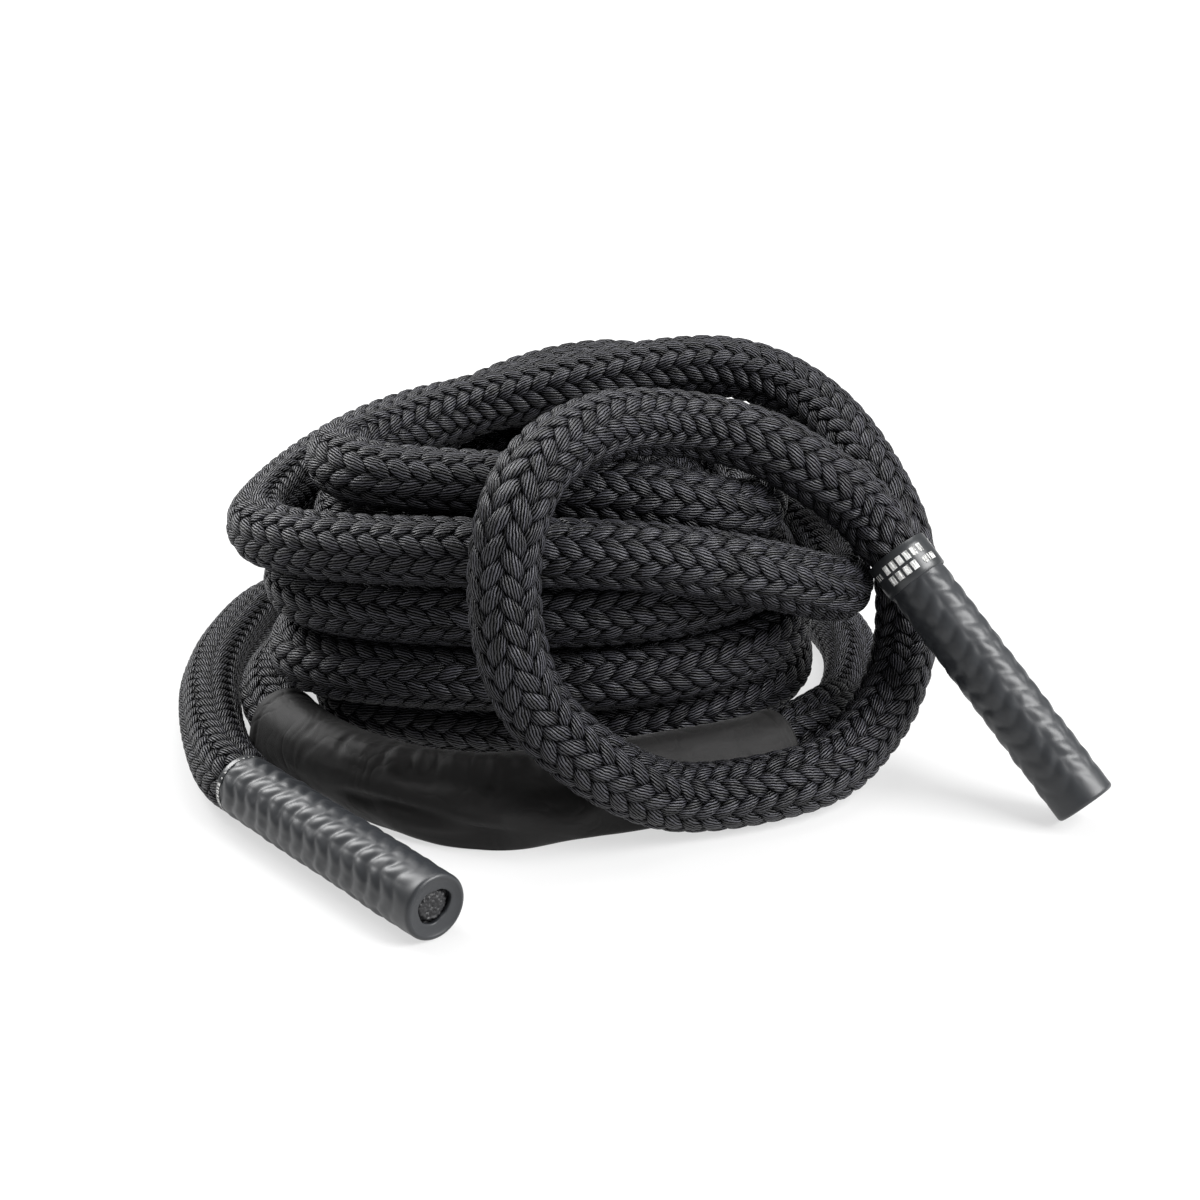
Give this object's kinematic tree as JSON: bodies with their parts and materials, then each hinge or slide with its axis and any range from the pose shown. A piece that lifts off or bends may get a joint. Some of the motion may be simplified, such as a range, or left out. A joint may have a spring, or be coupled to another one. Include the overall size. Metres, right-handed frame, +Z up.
{
  "type": "battle rope",
  "caption": "Thick braided exercise rope laid in a coiled pile, with a shrunk-on hand grip and label band at each end and a cloth wear sleeve.",
  "frame": {"origin": "middle of the pile's base, on the floor", "axes": "+Z up, -Y towards the side where the front loop stands, +X towards the leaning grip"},
  "size_m": [0.5572, 0.5744, 0.232],
  "materials": {
    "braided_rope": "satin braided polyester, black",
    "shrink_grip": "satin shrunk plastic tube, black",
    "label_band": "printed film, dark grey",
    "sleeve_cloth": "woven nylon, black"
  },
  "bodies": {
    "root": {"rope_floor_stretch": "braided_rope", "rope_coil": "braided_rope", "rope_front_loop": "braided_rope", "left_grip": "shrink_grip", "right_grip": "shrink_grip", "left_label_band": "label_band", "right_label_band": "label_band", "wear_sleeve": "sleeve_cloth"}
  },
  "joints": []
}
